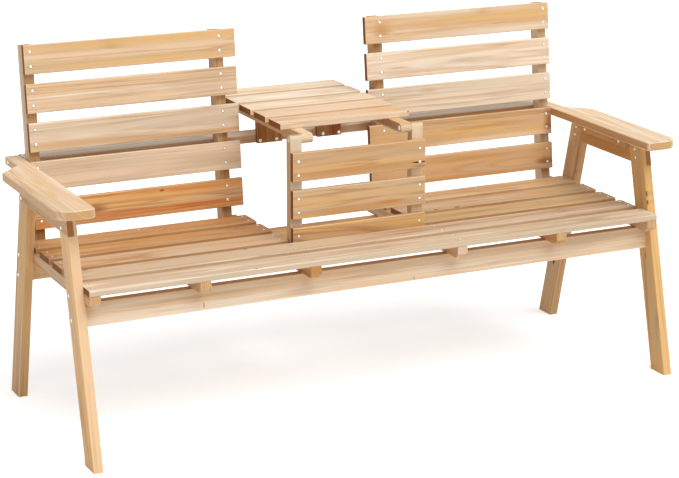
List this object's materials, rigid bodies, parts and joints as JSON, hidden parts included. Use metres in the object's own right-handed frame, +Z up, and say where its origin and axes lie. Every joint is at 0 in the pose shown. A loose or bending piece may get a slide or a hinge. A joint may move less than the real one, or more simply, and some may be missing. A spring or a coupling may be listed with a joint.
{
  "type": "companion seat bench",
  "caption": "Slatted softwood garden bench whose two seats share a small table; the table and the panel under it fold to make one long seat and back.",
  "frame": {"origin": "on the floor under the middle of the bench's bounding box, table open", "axes": "+X to the right as seen from the front, -Y to the front, +Z up"},
  "size_m": [1.7, 0.77, 0.9119],
  "materials": {
    "slat_wood": "planed, lightly oiled",
    "frame_wood": "planed, lightly oiled",
    "support_wood": "planed, darker heartwood",
    "screw_steel": "zinc plated",
    "bolt_steel": "zinc plated"
  },
  "bodies": {
    "frame": {"arm_cleat_l": "frame_wood", "arm_cleat_r": "frame_wood", "arm_rail_l": "frame_wood", "arm_rail_r": "frame_wood", "armrest_l": "frame_wood", "armrest_r": "frame_wood", "back_post_inner_l": "frame_wood", "back_post_inner_r": "frame_wood", "back_post_outer_l": "frame_wood", "back_post_outer_r": "frame_wood", "back_slat_left_1": "slat_wood", "back_slat_left_2": "slat_wood", "back_slat_left_3": "slat_wood", "back_slat_left_4": "slat_wood", "back_slat_left_5": "slat_wood", "back_slat_right_1": "slat_wood", "back_slat_right_2": "slat_wood", "back_slat_right_3": "slat_wood", "back_slat_right_4": "slat_wood", "back_slat_right_5": "slat_wood", "bearer_1": "frame_wood", "bearer_2": "frame_wood", "bearer_3": "frame_wood", "bearer_4": "frame_wood", "bearer_5": "frame_wood", "bearer_6": "frame_wood", "frame_screws": "screw_steel", "front_apron": "frame_wood", "front_leg_l": "frame_wood", "front_leg_r": "frame_wood", "pivot_bolts_lower": "bolt_steel", "pivot_nuts_lower": "bolt_steel", "rear_apron": "frame_wood", "rear_leg_l": "frame_wood", "rear_leg_r": "frame_wood", "rear_rail": "frame_wood", "seat_slat_front_1": "slat_wood", "seat_slat_front_2": "slat_wood", "seat_slat_left_1": "slat_wood", "seat_slat_left_2": "slat_wood", "seat_slat_left_3": "slat_wood", "seat_slat_right_1": "slat_wood", "seat_slat_right_2": "slat_wood", "seat_slat_right_3": "slat_wood", "table_support_l": "support_wood", "table_support_r": "support_wood"},
    "panel": {"panel_slat_1": "slat_wood", "panel_slat_2": "slat_wood", "panel_slat_3": "slat_wood", "panel_upright_l": "frame_wood", "panel_upright_r": "frame_wood", "pivot_bolts_upper": "bolt_steel", "pivot_nuts_upper": "bolt_steel"},
    "table": {"table_batten_l": "frame_wood", "table_batten_r": "frame_wood", "table_slat_1": "slat_wood", "table_slat_2": "slat_wood", "table_slat_3": "slat_wood", "table_slat_4": "slat_wood", "table_slat_5": "slat_wood"}
  },
  "joints": [
    {"name": "panel_fold", "type": "hinge", "parent": "frame", "child": "panel", "pos_m": [0, -0.1215, 0.398], "axis": [-1, 0, 0], "range_deg": [0, 90]},
    {"name": "table_hinge", "type": "hinge", "parent": "panel", "child": "table", "pos_m": [0, -0.1215, 0.682], "axis": [1, 0, 0], "range_deg": [0, 175]}
  ],
  "couplings": [
    {"joint": "table_hinge", "follows": "panel_fold", "ratio": 1.9444}
  ]
}
